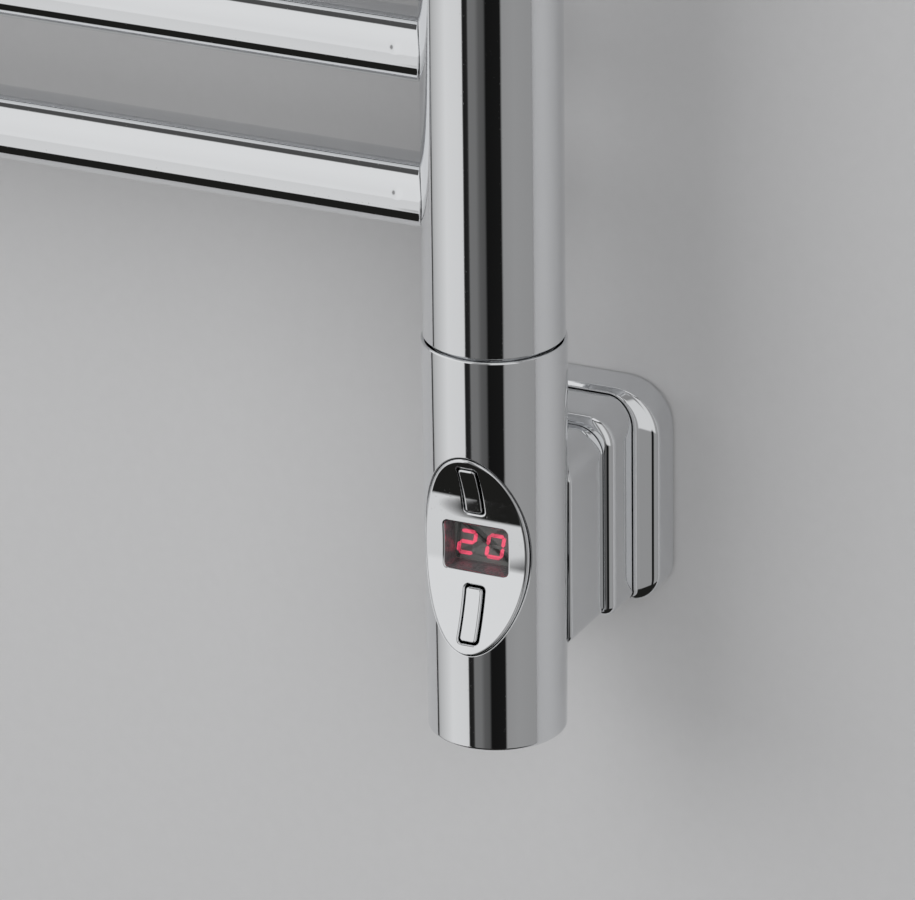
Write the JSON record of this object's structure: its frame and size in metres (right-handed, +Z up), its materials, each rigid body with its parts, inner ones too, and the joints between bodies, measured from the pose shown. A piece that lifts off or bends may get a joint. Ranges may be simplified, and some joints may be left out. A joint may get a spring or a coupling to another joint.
{
  "type": "towel warmer rack",
  "caption": "Wall-hung electric ladder rack of round chrome rails between two uprights, with a dished digital control panel, two push buttons and stepped wall brackets.",
  "frame": {"origin": "on the wall plane, at the centre of the four wall brackets", "axes": "+Y points into the wall, +Z up, +X to the right of a person who faces the rack"},
  "size_m": [0.516, 0.0775, 0.5492],
  "materials": {
    "chrome_tube": "polished chrome plate",
    "chrome_casting": "polished chrome plate",
    "chrome_plated_plastic": "polished chrome plate on moulded plastic",
    "smoked_lens": "smoked glossy",
    "led_segments": "lit red segments",
    "black_plastic": "moulded satin",
    "circuit_board": "solder mask",
    "zinc_base": "zinc plated",
    "steel_screw": "bright zinc plated",
    "element_steel": "drawn stainless steel",
    "bush_brass": "machined",
    "seal_rubber": "matt"
  },
  "bodies": {
    "rack": {"upright_right": "chrome_tube", "upright_left": "chrome_tube", "rail_1": "chrome_tube", "rail_2": "chrome_tube", "rail_3": "chrome_tube", "rail_4": "chrome_tube", "rail_5": "chrome_tube", "rail_6": "chrome_tube", "rail_7": "chrome_tube", "control_housing": "chrome_casting", "cap_lower_left": "chrome_casting", "cap_upper_right": "chrome_casting", "cap_upper_left": "chrome_casting", "saddle_lower_right": "chrome_casting", "saddle_lower_left": "chrome_casting", "saddle_upper_right": "chrome_casting", "saddle_upper_left": "chrome_casting", "sleeve_lower_right": "chrome_casting", "sleeve_lower_left": "chrome_casting", "sleeve_upper_right": "chrome_casting", "sleeve_upper_left": "chrome_casting", "cover_lower_right": "chrome_casting", "cover_lower_left": "chrome_casting", "cover_upper_right": "chrome_casting", "cover_upper_left": "chrome_casting", "faceplate": "chrome_plated_plastic", "display_lens": "smoked_lens", "display_digits": "led_segments", "display_module": "black_plastic", "relay": "black_plastic", "terminal_block": "black_plastic", "switch_up": "black_plastic", "switch_down": "black_plastic", "control_board": "circuit_board", "base_lower_right": "zinc_base", "base_lower_left": "zinc_base", "base_upper_right": "zinc_base", "base_upper_left": "zinc_base", "clamp_screw_lower_right": "steel_screw", "clamp_screw_lower_left": "steel_screw", "clamp_screw_upper_right": "steel_screw", "clamp_screw_upper_left": "steel_screw", "grub_screw_lower_right": "steel_screw", "grub_screw_lower_left": "steel_screw", "grub_screw_upper_right": "steel_screw", "grub_screw_upper_left": "steel_screw", "wall_screw_lower_right_top": "steel_screw", "wall_screw_lower_right_bottom": "steel_screw", "wall_screw_lower_left_top": "steel_screw", "wall_screw_lower_left_bottom": "steel_screw", "wall_screw_upper_right_top": "steel_screw", "wall_screw_upper_right_bottom": "steel_screw", "wall_screw_upper_left_top": "steel_screw", "wall_screw_upper_left_bottom": "steel_screw", "heating_element": "element_steel", "element_bush": "bush_brass", "element_seal": "seal_rubber"},
    "button_up": {"button_up": "chrome_plated_plastic"},
    "button_down": {"button_down": "chrome_plated_plastic"}
  },
  "joints": [
    {"name": "button_up_press", "type": "slide", "parent": "rack", "child": "button_up", "axis": [0, 1, 0], "range_m": [0, 0.0008], "stiffness_N_per_m": 1500, "springref_m": -0.0003},
    {"name": "button_down_press", "type": "slide", "parent": "rack", "child": "button_down", "axis": [0, 1, 0], "range_m": [0, 0.0008], "stiffness_N_per_m": 1500, "springref_m": -0.0003}
  ]
}
